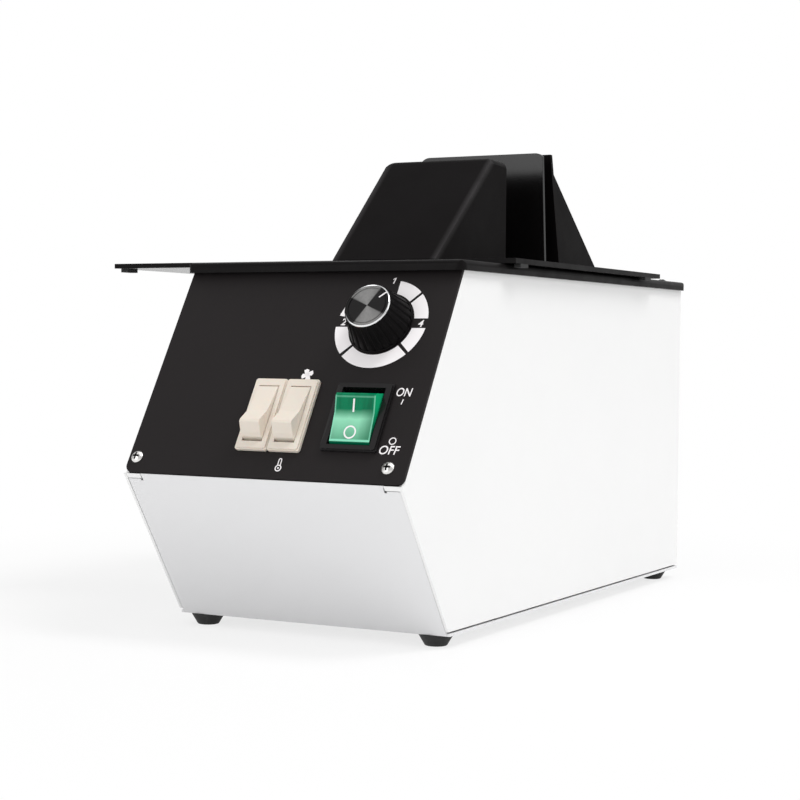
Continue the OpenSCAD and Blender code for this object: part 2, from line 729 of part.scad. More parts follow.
// sheathed heating rod laid in turns through the frame, both ends led out
module heater_coil() color([0.45, 0.42, 0.4]) translate([0, fan_y, heat_z + rod_z]) {
  for (i = [0:rod_n - 1])
    translate([-rod_x, rod_y(i), 0]) rotate([0, 90, 0]) cylinder(d = rod_d, h = 2 * rod_x);
  for (i = [0:rod_n - 2])
    translate([0, (rod_y(i) + rod_y(i + 1)) / 2, 0]) mirror([i % 2, 0, 0])
      translate([rod_x, 0, 0]) rotate([0, 0, -90]) rotate_extrude(angle = 180)
        translate([rod_pitch / 2, 0]) circle(d = rod_d);
  for (i = [0, rod_n - 1])
    translate([-duct_half - 6, rod_y(i), 0]) rotate([0, 90, 0]) {
      cylinder(d = rod_d, h = duct_half + 7 - rod_x);
      translate([0, 0, -5]) cylinder(d = 1.4, h = 6);
    }
}

// round snap thermostat clipped to the duct
module thermal_cutout() color([0.3, 0.3, 0.32])
  translate([0, fan_y - duct_half, heat_z + heat_h / 2]) rotate([90, 0, 0]) {
    cylinder(d = 16, h = 6);
    translate([-12, -3, 0]) cube([24, 6, 1]);
    for (x = [-5, 5])
      translate([x - 2.4, -0.4, 5.9]) cube([4.8, 0.8, 7]);
  }

// three-way terminal block on the pan
module terminal_block() color([0.9, 0.9, 0.88])
  translate([-24, chin_y + 20, base_z + sheet]) difference() {
    union() {
      cube([48, 18, 6]);
      for (i = [0:2])
        translate([5 + i * 13.4, 2, 0]) cube([11, 14, 16]);
    }
    for (i = [0:2])
      translate([10.5 + i * 13.4, 9, 8]) cylinder(d = 5, h = 12);
  }

// recessed three-pin inlet in the rear wall
module power_inlet() color([0.07, 0.07, 0.07]) translate([-16.2, back_y, 44.2]) {
  difference() {
    union() {
      translate([0, 2.5, 0]) rotate([90, 0, 0]) linear_extrude(2.5) union() {
        round_rect(30, 23, 2);
        round_rect(50, 15, 6);
      }
      translate([-13.6, -22, -10]) cube([27.2, 22.1, 20]);
    }
    translate([-12, -17, -8]) cube([24, 22, 16]);
    for (x = [-20, 20])
      translate([x, 0, 0]) rotate([90, 0, 0])
        cylinder(d = m3 + 2 * tap, h = 8, center = true);
  }
  for (x = [-7, 0, 7])
    translate([x - 1, -19, x == 0 ? -0.5 : -4.5]) cube([2, 17, 4]);
  for (x = [-7, 0, 7])
    translate([x - 3, -30, -0.4]) cube([6, 8.5, 0.8]);
}

// two screws of the inlet
module inlet_screws() color([0.62, 0.62, 0.63])
  for (x = [-36.2, 3.8])
    translate([x, back_y + 2.5, 44.2]) rotate([-90, 0, 0]) screw(m3, 5.4, 1.6, 7);

// screws from below that join the shell's tabs to the pan
module shell_screws() color([0.62, 0.62, 0.63])
  for (s = [-1, 1], y = tab_y)
    translate([s * (half_w - tab_w / 2), y, base_z]) rotate([180, 0, 0])
      screw(m3, 5.4, 1.5, 5);

base_pan();
body_shell();
control_panel();
panel_screws();
lid();
lid_screws();
outlet_grille();
feet();
foot_screws();
slide_tray();
tray_pads();
guide_pins();
front_hood();
rear_hood();
slot_baffle();
baffle_spacers();
hood_screws();
dial_knob();
knob_cap();
dial_shaft();
thermostat();
heat_switch_body();
fan_switch_body();
power_switch_body();
heat_rocker();
fan_rocker();
power_rocker();
fan_frame();
fan_hub();
fan_rotor();
fan_screws();
air_duct();
duct_screws();
heater_frame();
heater_coil();
thermal_cutout();
terminal_block();
power_inlet();
inlet_screws();
shell_screws();
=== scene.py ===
"""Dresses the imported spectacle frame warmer: finishes, panel print, small trim, studio and camera."""

import math

import bmesh
import bpy
from mathutils import Matrix, Vector


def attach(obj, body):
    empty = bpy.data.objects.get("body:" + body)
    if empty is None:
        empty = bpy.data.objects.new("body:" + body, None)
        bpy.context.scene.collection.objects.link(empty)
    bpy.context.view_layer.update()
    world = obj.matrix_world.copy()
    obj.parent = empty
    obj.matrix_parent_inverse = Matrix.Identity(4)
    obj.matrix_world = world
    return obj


bl_info = {
    "name": "Spectacle Frame Warmer",
    "version": (1, 0, 0),
    "blender": (4, 5, 0),
    "location": "3D View > Sidebar > Frame Warmer",
    "description": "Finishes and small pieces of a counter-top spectacle frame warmer",
    "category": "Object",
}

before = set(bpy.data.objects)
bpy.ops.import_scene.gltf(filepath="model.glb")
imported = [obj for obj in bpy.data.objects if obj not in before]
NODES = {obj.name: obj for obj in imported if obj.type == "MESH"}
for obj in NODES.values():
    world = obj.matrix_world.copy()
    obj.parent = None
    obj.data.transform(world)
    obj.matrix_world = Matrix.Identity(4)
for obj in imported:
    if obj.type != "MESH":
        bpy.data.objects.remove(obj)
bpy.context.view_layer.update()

MM = 0.001
PER_M = 1000.0

# The control panel: its lower edge, and the directions up its slope and out of its face
NOSE = Vector((0, -0.1575, 0.068))
SLOPE = Vector((0, 50.4, 84.2)).normalized()
OUTWARD = Vector((0, -84.2, 50.4)).normalized()
PANEL = Matrix.Translation(NOSE) @ Matrix(
    ((1, 0, 0), (0, SLOPE.y, OUTWARD.y), (0, SLOPE.z, OUTWARD.z))
).to_4x4()

# Places on the panel, in millimetres: across it, up its slope and out of it
DIAL = (35.07, 72.65)
SWITCH_V = 29.0
GREEN_U = 37.4
PIVOT_N = -2.2
SCREWS_MIDDLE, SCREWS_HALF, SCREWS_V = -2.1, 58.9, 7.6
PRINT_ROOT = -0.02

# The green rocker at rest, in millimetres: heights up the panel, and half its width
LENS_FOOT, LENS_LIP, LENS_CREST = 17.5, 18.35, 35.2
LENS_HALF = 8.6
# Where its pale zone fades in above the foot, out at mid height and down towards the right side,
# and where its flank grows bright
PALE_IN, PALE_OUT, PALE_SIDE, FLANK = (17.0, 27.0), (26.8, 30.8), (3.0, 8.4), (21.0, 32.0)

# The knob: degrees round it of the painted bright fans on its cap and of the painted dark reflection
# on its rim, and the close rings of the cap, in radians per millimetre
PAINTED_FANS_AT, DARK_REFLECTION_AT, RING_WAVE = 110, 172, 48.0

# The front hood, in millimetres: foot of its sloping roof, the roof's rise over its run,
# half its width there and how much that grows per millimetre backwards
ROOF_FOOT = Vector((0, -54.5, 159.9))
ROOF_RISE, ROOF_RUN = 49.0, 55.0
HOOD_HALF, HOOD_GROWTH = 26.0, 2.0 / 69

# The shell's tabs lie behind the seam, inside this half width and under this height, in metres; there they
# are painted dark as painted shade in the seam
SEAM_SHADE_HALF, SEAM_SHADE_TOP = 0.0647, 0.0069

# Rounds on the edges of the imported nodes, in metres
SCREW_ROUND, PANEL_SCREW_ROUND = 0.0001, 0.00012
THIN_ROUND, PLATE_ROUND, CASE_ROUND = 0.0002, 0.00025, 0.0003
SOFT_ROUND, BLUNT_ROUND = 0.0004, 0.0005

# Second colours of the finishes: dust, depth, and painted shade, painted highlights and painted reflections
TINTS = {
    "dust": (0.55, 0.54, 0.52), "seam": (0.05, 0.05, 0.05), "painted crease highlight": (0.036, 0.034, 0.035),
    "recess_shade": (0.01, 0.01, 0.01), "lens edge highlight": (0.27, 0.74, 0.52), "lens foot": (0.0, 0.13, 0.06),
    "flank low": (0.002, 0.11, 0.05), "flank high": (0.008, 0.40, 0.17),
    "cap painted dark fan": (0.008, 0.007, 0.0075), "cap painted bright fan": (0.27, 0.267, 0.264),
    "rim bright": (0.86, 0.86, 0.87), "rim dark reflection": (0.03, 0.028, 0.028),
}


class WarmerFinish(bpy.types.PropertyGroup):
    """Colours of the warmer's finishes."""

    body: bpy.props.FloatVectorProperty(
        name="Body paint", description="Stoved white paint of the steel body",
        subtype="COLOR", size=3, min=0, max=1, default=(0.86, 0.86, 0.858))
    chin: bpy.props.FloatVectorProperty(
        name="Pan paint", description="Paint of the base pan and its chin sheet",
        subtype="COLOR", size=3, min=0, max=1, default=(0.77, 0.77, 0.778))
    panel: bpy.props.FloatVectorProperty(
        name="Panel film", description="Matt black film on the control panel",
        subtype="COLOR", size=3, min=0, max=1, default=(0.0108, 0.0086, 0.0090))
    metal: bpy.props.FloatVectorProperty(
        name="Black powder coat", description="Powder coat of the lid and the tray",
        subtype="COLOR", size=3, min=0, max=1, default=(0.0045, 0.0038, 0.0040))
    hood: bpy.props.FloatVectorProperty(
        name="Hood moulding", description="Black moulded plastic of the hoods",
        subtype="COLOR", size=3, min=0, max=1, default=(0.0042, 0.0034, 0.0036))
    beige: bpy.props.FloatVectorProperty(
        name="Beige plastic", description="Plastic of the two selector switches",
        subtype="COLOR", size=3, min=0, max=1, default=(0.735, 0.665, 0.58))
    lens_dark: bpy.props.FloatVectorProperty(
        name="Lens green", description="Deep green of the lit rocker",
        subtype="COLOR", size=3, min=0, max=1, default=(0.0, 0.15, 0.065))
    lens_pale: bpy.props.FloatVectorProperty(
        name="Lens pale green", description="Green where the diffuser lies close under the lens",
        subtype="COLOR", size=3, min=0, max=1, default=(0.30, 0.72, 0.49))
    ink: bpy.props.FloatVectorProperty(
        name="Print white", description="White ink of the panel print",
        subtype="COLOR", size=3, min=0, max=1, default=(0.90, 0.87, 0.88))


class WarmerSizes(bpy.types.PropertyGroup):
    """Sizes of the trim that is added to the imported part."""

    ink_height: bpy.props.FloatProperty(
        name="Ink height", description="How far the print stands on the panel",
        default=0.00006, min=0.00002, max=0.0003, unit="LENGTH", precision=5)
    fold_round: bpy.props.FloatProperty(
        name="Sheet edge round", description="Round on the cut and folded sheet edges",
        default=0.0003, min=0.0001, max=0.0006, unit="LENGTH", precision=5)
    mould_round: bpy.props.FloatProperty(
        name="Moulding edge round", description="Round on the edges of the front hood",
        default=0.0015, min=0.0002, max=0.0018, unit="LENGTH", precision=5)
    ring_outer: bpy.props.FloatProperty(
        name="Scale ring outer radius", description="Outer radius of the printed scale",
        default=0.0207, min=0.018, max=0.023, unit="LENGTH", precision=4)
    ring_inner: bpy.props.FloatProperty(
        name="Scale ring inner radius", description="Inner radius of the printed scale",
        default=0.0146, min=0.0135, max=0.017, unit="LENGTH", precision=4)


class WarmerStage(bpy.types.PropertyGroup):
    """Light and camera of the studio."""

    key_power: bpy.props.FloatProperty(
        name="Side lamp", description="Power of the soft lamp on the right",
        default=2.5, min=0, max=60, unit="POWER")
    high_power: bpy.props.FloatProperty(
        name="High lamp", description="Power of the smaller lamp high on the right",
        default=14.0, min=0, max=60, unit="POWER")
    top_power: bpy.props.FloatProperty(
        name="Top lamp", description="Power of the soft lamp above",
        default=3.0, min=0, max=60, unit="POWER")
    fill_power: bpy.props.FloatProperty(
        name="Front fill", description="Power of the low soft lamp in front",
        default=6.0, min=0, max=60, unit="POWER")
    room: bpy.props.FloatProperty(
        name="Room light", description="Strength of the white room around the object",
        default=0.62, min=0, max=1)
    lens: bpy.props.FloatProperty(
        name="Lens", description="Focal length on a 36 mm sensor, in millimetres",
        default=82.12, min=30, max=200)


def finish():
    return bpy.context.scene.warmer_finish


def sizes():
    return bpy.context.scene.warmer_sizes


# ---------------------------------------------------------------- shader node helpers

class Nodes:
    """Short calls for laying nodes in a tree."""

    def __init__(self, tree):
        self.tree = tree

    def add(self, kind, at=(0, 0), **values):
        node = self.tree.nodes.new(kind)
        node.location = at
        for key, value in values.items():
            setattr(node, key, value)
        return node

    def link(self, out, into):
        self.tree.links.new(out, into)

    def feed(self, value, socket):
        """Links an output to a socket, or sets a plain value there."""
        if isinstance(value, bpy.types.NodeSocket):
            self.link(value, socket)
        else:
            socket.default_value = value

    def math(self, op, *values, clamp=False):
        node = self.add("ShaderNodeMath", operation=op, use_clamp=clamp)
        for value, socket in zip(values, node.inputs):
            self.feed(value, socket)
        return node.outputs[0]

    def hypot(self, a, b):
        return self.math("SQRT", self.math("ADD", self.math("MULTIPLY", a, a), self.math("MULTIPLY", b, b)))

    def place(self):
        """Where a point lies on its piece at rest, in metres."""
        return self.add("ShaderNodeTexCoord").outputs["Object"]

    def split(self, vector):
        node = self.add("ShaderNodeSeparateXYZ")
        self.link(vector, node.inputs[0])
        return node.outputs

    def facing(self, kind):
        """The three parts of the surface's direction."""
        return self.split(self.add("ShaderNodeNewGeometry").outputs[kind])

    def vector_math(self, op, vector, other):
        node = self.add("ShaderNodeVectorMath", operation=op)
        self.link(vector, node.inputs[0])
        node.inputs[1].default_value = other
        return node.outputs["Value" if op == "DOT_PRODUCT" else "Vector"]

    def noise(self, vector, scale, detail=3.0, rough=0.5):
        node = self.add("ShaderNodeTexNoise")
        for name, value in (("Vector", vector), ("Scale", scale), ("Detail", detail), ("Roughness", rough)):
            self.feed(value, node.inputs[name])
        return node.outputs["Fac"]

    def spread(self, value, low, high, to_low, to_high, curve="LINEAR"):
        """Maps one range of a value onto another and stays inside it."""
        node = self.add("ShaderNodeMapRange", interpolation_type=curve)
        for name, v in (("Value", value), ("From Min", low), ("From Max", high),
                        ("To Min", to_low), ("To Max", to_high)):
            self.feed(v, node.inputs[name])
        return node.outputs["Result"]

    def blend(self, factor, a, b):
        node = self.add("ShaderNodeMix", data_type="RGBA")
        for socket, value in ((node.inputs[0], factor), (node.inputs[6], a), (node.inputs[7], b)):
            self.feed((*value, 1) if isinstance(value, tuple) else value, socket)
        return node.outputs[2]

    def clouded(self, colour, cloud, amount):
        """A colour that a noise makes a little lighter and darker."""
        tint = self.add("ShaderNodeVectorMath", operation="SCALE")
        self.link(colour, tint.inputs[0])
        self.link(self.math("MULTIPLY_ADD", self.math("SUBTRACT", cloud, 0.5), amount, 1.0),
                  tint.inputs["Scale"])
        return tint.outputs[0]

    def relief(self, shader, height, strength, distance):
        """Bumps a shader's surface by a height."""
        node = self.add("ShaderNodeBump", (0, -200))
        for name, value in (("Strength", strength), ("Distance", distance), ("Height", height)):
            self.feed(value, node.inputs[name])
        self.link(node.outputs[0], shader.inputs["Normal"])


def new_group(name, inputs):
    """A group that puts out colour, roughness and height: itself, its nodes and its two ends."""
    group = bpy.data.node_groups.new(name, "ShaderNodeTree")
    for label, default in inputs.items():
        colour = isinstance(default, tuple)
        socket = group.interface.new_socket(
            label, in_out="INPUT", socket_type="NodeSocketColor" if colour else "NodeSocketFloat")
        socket.default_value = (*default, 1) if colour else default
    group.interface.new_socket("Colour", in_out="OUTPUT", socket_type="NodeSocketColor")
    for label in ("Roughness", "Height"):
        group.interface.new_socket(label, in_out="OUTPUT", socket_type="NodeSocketFloat")
    n = Nodes(group)
    return group, n, n.add("NodeGroupInput", (-900, 0)).outputs, n.add("NodeGroupOutput", (600, 0)).inputs


def skin_group():
    """Stoved or powder paint: fine peel, faint cloudiness and settled dust."""
    name = "Paint skin"
    if name in bpy.data.node_groups:
        return bpy.data.node_groups[name]
    group, n, given, out = new_group(name, {
        "Colour": (0.8, 0.8, 0.8), "Peel scale": 900.0, "Cloud": 0.03, "Gloss low": 0.28,
        "Gloss high": 0.42, "Dust": 0.05})
    place = n.place()
    peel = n.noise(place, given["Peel scale"], 4.0, 0.55)
    cloud = n.noise(place, 26.0, 3.0, 0.6)
    smear = n.noise(place, 95.0, 5.0, 0.62)
    speck = n.spread(n.noise(place, 2600.0, 1.0, 0.4), 0.69, 0.74, 0.0, 1.0)
    flat = n.spread(n.facing("Normal")["Z"], 0.35, 0.95, 0.15, 1.0)
    dust = n.math("MULTIPLY", n.math("MULTIPLY", speck, flat), given["Dust"], clamp=True)
    paint = n.clouded(given["Colour"], cloud, given["Cloud"])
    n.link(n.blend(dust, paint, TINTS["dust"]), out["Colour"])
    n.link(n.spread(smear, 0.3, 0.7, given["Gloss low"], given["Gloss high"]), out["Roughness"])
    n.link(n.math("MULTIPLY_ADD", speck, 0.2, peel), out["Height"])
    return group


def grain_group():
    """Spark-eroded grain of a moulding: fine pits, gate haze and handling marks."""
    name = "Mould grain"
    if name in bpy.data.node_groups:
        return bpy.data.node_groups[name]
    group, n, given, out = new_group(name, {
        "Colour": (0.02, 0.02, 0.02), "Grain scale": 1800.0, "Rough low": 0.38, "Rough high": 0.55,
        "Mottle": 0.12})
    place = n.place()
    pits = n.add("ShaderNodeTexVoronoi", feature="F1")
    n.link(place, pits.inputs["Vector"])
    n.link(given["Grain scale"], pits.inputs["Scale"])
    fine = n.noise(place, given["Grain scale"], 3.0, 0.6)
    haze = n.noise(place, 40.0, 4.0, 0.6)
    dullness = n.math("MULTIPLY_ADD", fine, 0.35, n.math("MULTIPLY", haze, 0.65))
    n.link(n.clouded(given["Colour"], haze, given["Mottle"]), out["Colour"])
    n.link(n.spread(dullness, 0.35, 0.65, given["Rough low"], given["Rough high"]), out["Roughness"])
    n.link(n.math("MULTIPLY_ADD", pits.outputs["Distance"], 0.6, fine), out["Height"])
    return group


def drawn_group():
    """Drawn or rolled metal: long fine lines, cloud of zinc or oxide over them."""
    name = "Drawn metal"
    if name in bpy.data.node_groups:
        return bpy.data.node_groups[name]
    group, n, given, out = new_group(name, {
        "Colour": (0.6, 0.6, 0.6), "Second colour": (0.4, 0.4, 0.4), "Bloom scale": 120.0,
        "Rough low": 0.2, "Rough high": 0.4})
    place = n.place()
    lines = n.noise(n.vector_math("MULTIPLY", place, (60.0, 2400.0, 2400.0)), 1.0, 3.0, 0.6)
    bloom = n.noise(place, given["Bloom scale"], 4.0, 0.65)
    dullness = n.math("MULTIPLY_ADD", lines, 0.5, n.math("MULTIPLY", bloom, 0.5))
    n.link(n.blend(n.spread(bloom, 0.38, 0.62, 0.0, 1.0), given["Colour"], given["Second colour"]),
           out["Colour"])
    n.link(n.spread(dullness, 0.35, 0.65, given["Rough low"], given["Rough high"]), out["Roughness"])
    n.link(lines, out["Height"])
    return group


def material(name):
    """A material with a bare shader: itself, its nodes and the shader."""
    mat = bpy.data.materials.new(name)
    mat.use_nodes = True
    mat.node_tree.nodes.clear()
    n = Nodes(mat.node_tree)
    shader = n.add("ShaderNodeBsdfPrincipled", (300, 0))
    n.link(shader.outputs[0], n.add("ShaderNodeOutputMaterial", (600, 0)).inputs[0])
    return mat, n, shader


# ---------------------------------------------------------------- finishes

def surfaced(name, group, values, bump, **constants):
    """A material whose colour, roughness and bump come from one of the groups."""
    if name in bpy.data.materials:
        return bpy.data.materials[name]
    mat, n, shader = material(name)
    box = n.add("ShaderNodeGroup", (-300, 0), node_tree=group)
    for key, value in values.items():
        box.inputs[key].default_value = (*value, 1) if hasattr(value, "__len__") else value
    n.link(box.outputs["Colour"], shader.inputs["Base Color"])
    n.link(box.outputs["Roughness"], shader.inputs["Roughness"])
    n.relief(shader, box.outputs["Height"], *bump)
    for key, value in constants.items():
        shader.inputs[key.replace("_", " ")].default_value = value
    return mat


def white_paint():
    return surfaced("White stoved paint", skin_group(), {
        "Colour": finish().body, "Peel scale": 700.0, "Cloud": 0.025, "Gloss low": 0.30,
        "Gloss high": 0.40, "Dust": 0.02}, bump=(0.10, 0.00006))


def pan_paint():
    return surfaced("Pan stoved paint", skin_group(), {
        "Colour": finish().chin, "Peel scale": 700.0, "Cloud": 0.03, "Gloss low": 0.34,
        "Gloss high": 0.44, "Dust": 0.02}, bump=(0.10, 0.00006))


def powder_coat():
    return surfaced("Black powder coat", skin_group(), {
        "Colour": finish().metal, "Peel scale": 1500.0, "Cloud": 0.2, "Gloss low": 0.34,
        "Gloss high": 0.48, "Dust": 0.05}, bump=(0.22, 0.00008), Specular_IOR_Level=0.08)


def panel_film():
    return surfaced("Matt panel film", grain_group(), {
        "Colour": finish().panel, "Grain scale": 2600.0, "Rough low": 0.55, "Rough high": 0.68,
        "Mottle": 0.10}, bump=(0.08, 0.00003), Specular_IOR_Level=0.2)


def hood_plastic():
    return surfaced("Hood moulding", grain_group(), {
        "Colour": finish().hood, "Grain scale": 1500.0, "Rough low": 0.36, "Rough high": 0.50,
        "Mottle": 0.25}, bump=(0.16, 0.00006), Specular_IOR_Level=0.03)


def gloss_black():
    return surfaced("Gloss black moulding", grain_group(), {
        "Colour": (0.011, 0.010, 0.0105), "Grain scale": 900.0, "Rough low": 0.14,
        "Rough high": 0.24, "Mottle": 0.2}, bump=(0.03, 0.00003), Specular_IOR_Level=0.3)


def baffle_gloss():
    return surfaced("Polished baffle", grain_group(), {
        "Colour": (0.004, 0.0036, 0.0038), "Grain scale": 900.0, "Rough low": 0.16,
        "Rough high": 0.22, "Mottle": 0.2}, bump=(0.01, 0.00002), IOR=1.5, Specular_IOR_Level=0.4)


def knob_black():
    return surfaced("Matt knob moulding", grain_group(), {
        "Colour": (0.0034, 0.0028, 0.0030), "Grain scale": 1800.0, "Rough low": 0.36,
        "Rough high": 0.5, "Mottle": 0.2}, bump=(0.08, 0.00004), Specular_IOR_Level=0.08)


def plain_black():
    return surfaced("Black inner moulding", grain_group(), {
        "Colour": (0.02, 0.02, 0.021), "Grain scale": 1300.0, "Rough low": 0.45,
        "Rough high": 0.6, "Mottle": 0.2}, bump=(0.12, 0.00005))


def beige_plastic():
    return surfaced("Beige switch plastic", grain_group(), {
        "Colour": finish().beige, "Grain scale": 2000.0, "Rough low": 0.34, "Rough high": 0.46,
        "Mottle": 0.05}, bump=(0.05, 0.00003), Subsurface_Weight=0.08, Subsurface_Scale=0.001)


def rubber():
    return surfaced("Foot rubber", grain_group(), {
        "Colour": (0.016, 0.016, 0.016), "Grain scale": 1100.0, "Rough low": 0.62,
        "Rough high": 0.82, "Mottle": 0.3}, bump=(0.3, 0.0001))


def zinc():
    return surfaced("Zinc coated sheet", drawn_group(), {
        "Colour": (0.50, 0.51, 0.53), "Second colour": (0.38, 0.39, 0.41), "Bloom scale": 160.0,
        "Rough low": 0.28, "Rough high": 0.42}, bump=(0.12, 0.00004), Metallic=1.0)


def bright_steel():
    return surfaced("Nickel plated screws", drawn_group(), {
        "Colour": (0.86, 0.85, 0.83), "Second colour": (0.76, 0.75, 0.73), "Bloom scale": 500.0,
        "Rough low": 0.22, "Rough high": 0.36}, bump=(0.08, 0.00002), Metallic=1.0)


def black_steel():
    return surfaced("Blackened screws", drawn_group(), {
        "Colour": (0.035, 0.034, 0.035), "Second colour": (0.022, 0.021, 0.022), "Bloom scale": 400.0,
        "Rough low": 0.34, "Rough high": 0.50}, bump=(0.10, 0.00002), Metallic=1.0)


def oxide_steel():
    return surfaced("Heat-blued element sheath", drawn_group(), {
        "Colour": (0.20, 0.17, 0.15), "Second colour": (0.13, 0.13, 0.15), "Bloom scale": 220.0,
        "Rough low": 0.4, "Rough high": 0.6}, bump=(0.2, 0.00004), Metallic=1.0)


def board():
    return surfaced("Insulating board", grain_group(), {
        "Colour": (0.60, 0.55, 0.45), "Grain scale": 700.0, "Rough low": 0.55,
        "Rough high": 0.75, "Mottle": 0.35}, bump=(0.3, 0.0001))


def ceramic():
    return surfaced("Glazed steatite", grain_group(), {
        "Colour": (0.72, 0.70, 0.64), "Grain scale": 500.0, "Rough low": 0.2,
        "Rough high": 0.35, "Mottle": 0.08}, bump=(0.05, 0.00005))


def ink():
    return surfaced("White panel ink", grain_group(), {
        "Colour": finish().ink, "Grain scale": 3000.0, "Rough low": 0.5, "Rough high": 0.62,
        "Mottle": 0.05}, bump=(0.05, 0.00002))


def variant(base, name):
    """A copy of a finish to be worked on: material, its nodes, shader and its colour so far."""
    mat = base.copy()
    mat.name = name
    n = Nodes(mat.node_tree)
    shader = next(x for x in n.tree.nodes if x.bl_idname == "ShaderNodeBsdfPrincipled")
    return mat, n, shader, shader.inputs["Base Color"].links[0].from_socket


def shell_paint():
    """White paint of the shell; its tabs are painted dark as painted shade in the seam over the base pan.
    """
    mat, n, shader, colour = variant(white_paint(), "White stoved paint, dark seam")
    at = n.split(n.place())
    deep = n.math("LESS_THAN", n.math("ABSOLUTE", at["X"]), SEAM_SHADE_HALF)
    under = n.math("LESS_THAN", at["Z"], SEAM_SHADE_TOP)
    # Painted shade: the tabs behind the seam take a near-black colour
    seam = n.math("MULTIPLY", deep, under)
    n.link(n.blend(seam, colour, TINTS["seam"]), shader.inputs["Base Color"])
    return mat


def glossy_flats():
    """Black powder coat that flowed out glossier on the flats of the sheets than on their edges."""
    name = "Black powder coat, glossy flats"
    if name in bpy.data.materials:
        return bpy.data.materials[name]
    mat, n, shader, _ = variant(powder_coat(), name)
    up = n.math("ABSOLUTE", n.facing("True Normal")["Z"])
    n.link(n.spread(up, 0.9, 0.99, 0.0, 0.6), shader.inputs["Coat Weight"])
    shader.inputs["Coat Roughness"].default_value = 0.12
    return mat


def creased_plastic():
    """Hood moulding with a painted highlight: a lighter colour along the two sloping creases of the front
    half.
    """
    mat, n, shader, colour = variant(hood_plastic(), "Hood moulding, rubbed creases")
    place = n.place()
    slope = math.atan2(ROOF_RISE, ROOF_RUN)
    out = Vector((0, -math.sin(slope), math.cos(slope)))
    below = n.math("ADD", n.vector_math("DOT_PRODUCT", place, out * -PER_M), ROOF_FOOT.dot(out))
    at = n.split(place)
    half = n.math("MULTIPLY_ADD", at["Y"], HOOD_GROWTH * PER_M, HOOD_HALF - ROOF_FOOT.y * HOOD_GROWTH)
    inside = n.math("SUBTRACT", half, n.math("MULTIPLY", n.math("ABSOLUTE", at["X"]), PER_M))
    away = n.math("ADD", n.math("MAXIMUM", below, 0.0), n.math("MAXIMUM", inside, 0.0))
    haze = n.spread(n.noise(place, 60.0), 0.3, 0.7, 0.65, 1.0)
    # Painted highlight: within about 3 mm of either crease the colour turns lighter
    crease_highlight_mask = n.math("MULTIPLY", n.spread(away, 0.2, 3.2, 1.0, 0.0), haze, clamp=True)
    n.link(n.blend(crease_highlight_mask, colour, TINTS["painted crease highlight"]), shader.inputs["Base Color"])
    return mat


def recessed_steel():
    """Plated pan heads on the panel, with painted shade darkening their cross recesses."""
    mat, n, shader, colour = variant(bright_steel(), "Panel screw heads")
    place = n.place()
    level = from_nose(n, place, OUTWARD)
    side = n.math("ABSOLUTE", n.math("MULTIPLY_ADD", n.split(place)["X"], PER_M, -SCREWS_MIDDLE))
    away = n.hypot(n.math("SUBTRACT", side, SCREWS_HALF),
                   n.math("SUBTRACT", from_nose(n, place, SLOPE), SCREWS_V))
    # Painted shade: inside the head and below its top, the cross recess takes a near-black colour
    recess_shade = n.math("MULTIPLY", n.spread(away, 1.5, 1.8, 1.0, 0.0), n.spread(level, 1.0, 1.45, 1.0, 0.0),
                  clamp=True)
    n.link(n.blend(recess_shade, colour, TINTS["recess_shade"]), shader.inputs["Base Color"])
    return mat


def from_nose(n, place, way):
    """Distance from the panel's lower edge along a direction, in millimetres."""
    return n.math("SUBTRACT", n.vector_math("DOT_PRODUCT", place, way * PER_M), NOSE.dot(way) * PER_M)


def green_lens():
    """Tinted clear rocker: deep green where hollow, pale over its diffuser, and a painted highlight along
    its edges.
    """
    mat, n, shader = material("Green rocker lens")
    place = n.place()
    level = from_nose(n, place, SLOPE)
    u = n.math("MULTIPLY_ADD", n.split(place)["X"], PER_M, -GREEN_U)
    flow = n.noise(n.vector_math("MULTIPLY", place, (260.0, 60.0, 60.0)), 1.0, 2.0)
    v = n.math("ADD", level, n.math("MULTIPLY_ADD", flow, 1.6, -0.8))
    pale = n.math("MULTIPLY", n.spread(v, *PALE_OUT, 1.0, 0.0), n.spread(v, *PALE_IN, 0.3, 1.0), clamp=True)
    pale = n.math("MULTIPLY", pale, n.spread(u, *PALE_SIDE, 1.0, 0.35))
    # Painted highlight: the side edges, the lip and the crest of the face take a bright green
    sides = n.spread(n.math("ABSOLUTE", u), LENS_HALF - 0.3, LENS_HALF, 0.0, 0.6)
    lip = n.spread(level, LENS_LIP + 0.3, LENS_LIP, 0.0, 1.0)
    crest = n.spread(n.math("ABSOLUTE", n.math("SUBTRACT", level, LENS_CREST)), 0.15, 0.45, 0.3, 0.0)
    rim = n.math("MAXIMUM", n.math("MAXIMUM", sides, lip), crest)
    rim = n.math("MULTIPLY", rim, n.spread(level, LENS_CREST + 0.3, LENS_CREST + 0.7, 1.0, 0.0))
    foot = n.spread(level, LENS_FOOT + 0.25, LENS_FOOT, 0.0, 1.0)
    face = n.spread(n.math("ABSOLUTE", n.facing("True Normal")["X"]), 0.75, 0.95, 1.0, 0.0)
    deep = n.blend(n.spread(flow, 0.35, 0.65, 0.0, 1.0), tuple(0.75 * c for c in finish().lens_dark),
                   tuple(1.3 * c for c in finish().lens_dark))
    lens = n.blend(pale, deep, tuple(finish().lens_pale))
    lens = n.blend(foot, n.blend(rim, lens, TINTS["lens edge highlight"]), TINTS["lens foot"])
    flank = n.blend(n.spread(level, *FLANK, 0.0, 1.0), TINTS["flank low"], TINTS["flank high"])
    n.link(n.blend(face, flank, lens), shader.inputs["Base Color"])
    n.link(n.spread(n.noise(place, 300.0), 0.3, 0.7, 0.07, 0.16), shader.inputs["Roughness"])
    shader.inputs["Specular IOR Level"].default_value = 0.06
    n.relief(shader, n.noise(place, 400.0, 2.0), 0.05, 0.0001)
    return mat


